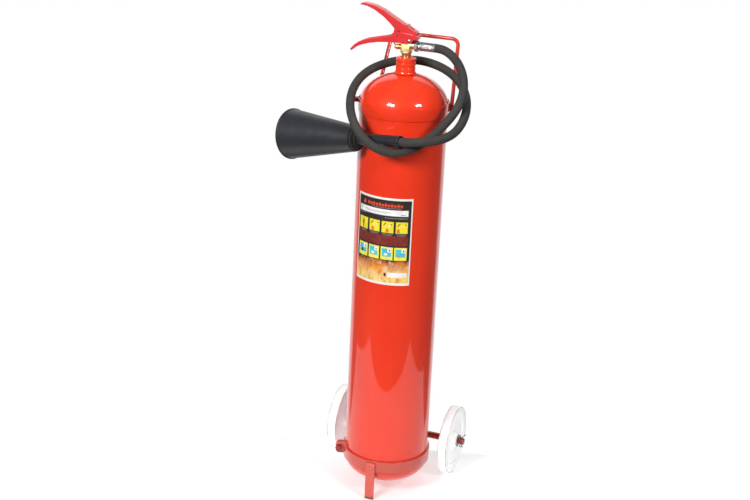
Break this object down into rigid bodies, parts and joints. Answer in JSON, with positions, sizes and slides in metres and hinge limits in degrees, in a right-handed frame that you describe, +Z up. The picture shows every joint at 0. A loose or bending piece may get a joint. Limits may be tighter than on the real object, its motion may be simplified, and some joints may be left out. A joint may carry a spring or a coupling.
{
  "type": "wheeled fire extinguisher",
  "caption": "Slim carbon dioxide fire extinguisher on two wheels and a front leg, with a squeeze-lever valve, a coiled hose, a horn and a pull handle",
  "frame": {"origin": "middle of the bounding box on the floor, measured without the hose", "axes": "+Z up along the cylinder, X along the axle with the valve outlet towards +X, front leg and label towards -Y"},
  "size_m": [0.3894, 0.3339, 1.0483],
  "materials": {
    "red_paint": "gloss red enamel",
    "lever_red": "red powder coat",
    "brass": "machined and cast brass",
    "chrome": "bright plated",
    "zinc_steel": "zinc plated",
    "hose_rubber": "matt black rubber with a cloth imprint",
    "horn_plastic": "matt charcoal plastic",
    "seal_rubber": "black rubber",
    "wheel_plastic": "white moulded plastic",
    "wheel_tyre": "white rubber",
    "bush_plastic": "grey bearing plastic",
    "label_paper": "printed film, satin"
  },
  "bodies": {
    "root": {"axle": "red_paint", "axle_bracket_left": "red_paint", "axle_bracket_right": "red_paint", "base_band": "red_paint", "base_band_bolt": "zinc_steel", "base_band_nut": "red_paint", "base_band_washer_head": "zinc_steel", "base_band_washer_nut": "zinc_steel", "burst_disc": "chrome", "carrying_handle": "lever_red", "cylinder_shell": "red_paint", "dip_tube": "zinc_steel", "discharge_hose": "hose_rubber", "front_label": "label_paper", "front_leg": "red_paint", "gland_nut": "brass", "gland_packing": "seal_rubber", "horn_cone": "horn_plastic", "horn_diffuser": "brass", "horn_flange": "seal_rubber", "horn_grip": "horn_plastic", "horn_nipple": "zinc_steel", "hose_ferrule": "chrome", "hose_tail": "chrome", "lever_pivot_pin": "zinc_steel", "neck_ring": "red_paint", "pull_handle": "red_paint", "safety_plug": "brass", "shoulder_band": "red_paint", "shoulder_band_bolt": "zinc_steel", "shoulder_band_nut": "red_paint", "shoulder_band_washer_head": "zinc_steel", "shoulder_band_washer_nut": "zinc_steel", "spring_retainer": "brass", "stem_spring": "zinc_steel", "union_nut": "chrome", "union_washer": "seal_rubber", "valve_body": "brass", "wheel_left_cotter": "zinc_steel", "wheel_left_washer_inner": "zinc_steel", "wheel_left_washer_outer": "zinc_steel", "wheel_right_cotter": "zinc_steel", "wheel_right_washer_inner": "zinc_steel", "wheel_right_washer_outer": "zinc_steel"},
    "wheel_left": {"wheel_left_centre": "wheel_plastic", "wheel_left_tyre": "wheel_tyre", "wheel_left_bush": "bush_plastic"},
    "wheel_right": {"wheel_right_centre": "wheel_plastic", "wheel_right_tyre": "wheel_tyre", "wheel_right_bush": "bush_plastic"},
    "lever": {"operating_lever": "lever_red"},
    "stem": {"valve_stem": "zinc_steel", "poppet_seal": "seal_rubber"},
    "pin": {"safety_pin": "zinc_steel"},
    "ring": {"safety_pin_ring": "zinc_steel"}
  },
  "joints": [
    {"name": "wheel_left_spin", "type": "hinge", "parent": "root", "child": "wheel_left", "pos_m": [-0.09857, 0.08798, 0.075], "axis": [1, 0, 0], "continuous": true},
    {"name": "wheel_right_spin", "type": "hinge", "parent": "root", "child": "wheel_right", "pos_m": [0.16243, 0.08798, 0.075], "axis": [1, 0, 0], "continuous": true},
    {"name": "lever_squeeze", "type": "hinge", "parent": "root", "child": "lever", "pos_m": [0.05373, -0.01852, 0.9823], "axis": [0, -1, 0], "range_deg": [0, 16], "stiffness_Nm_per_rad": 0.5, "springref_deg": -22.92},
    {"name": "stem_push", "type": "slide", "parent": "root", "child": "stem", "axis": [0, 0, -1], "range_m": [0, 0.003], "deforming": ["stem_spring"]},
    {"name": "pin_pull", "type": "slide", "parent": "root", "child": "pin", "axis": [0, 1, 0], "range_m": [0, 0.04]},
    {"name": "ring_swing", "type": "hinge", "parent": "pin", "child": "ring", "pos_m": [0.02673, -0.00142, 0.9907], "axis": [1, 0, 0], "range_deg": [-5, 100]}
  ],
  "couplings": [
    {"joint": "stem_push", "follows": "lever_squeeze", "m_per_rad": 0.0106}
  ]
}
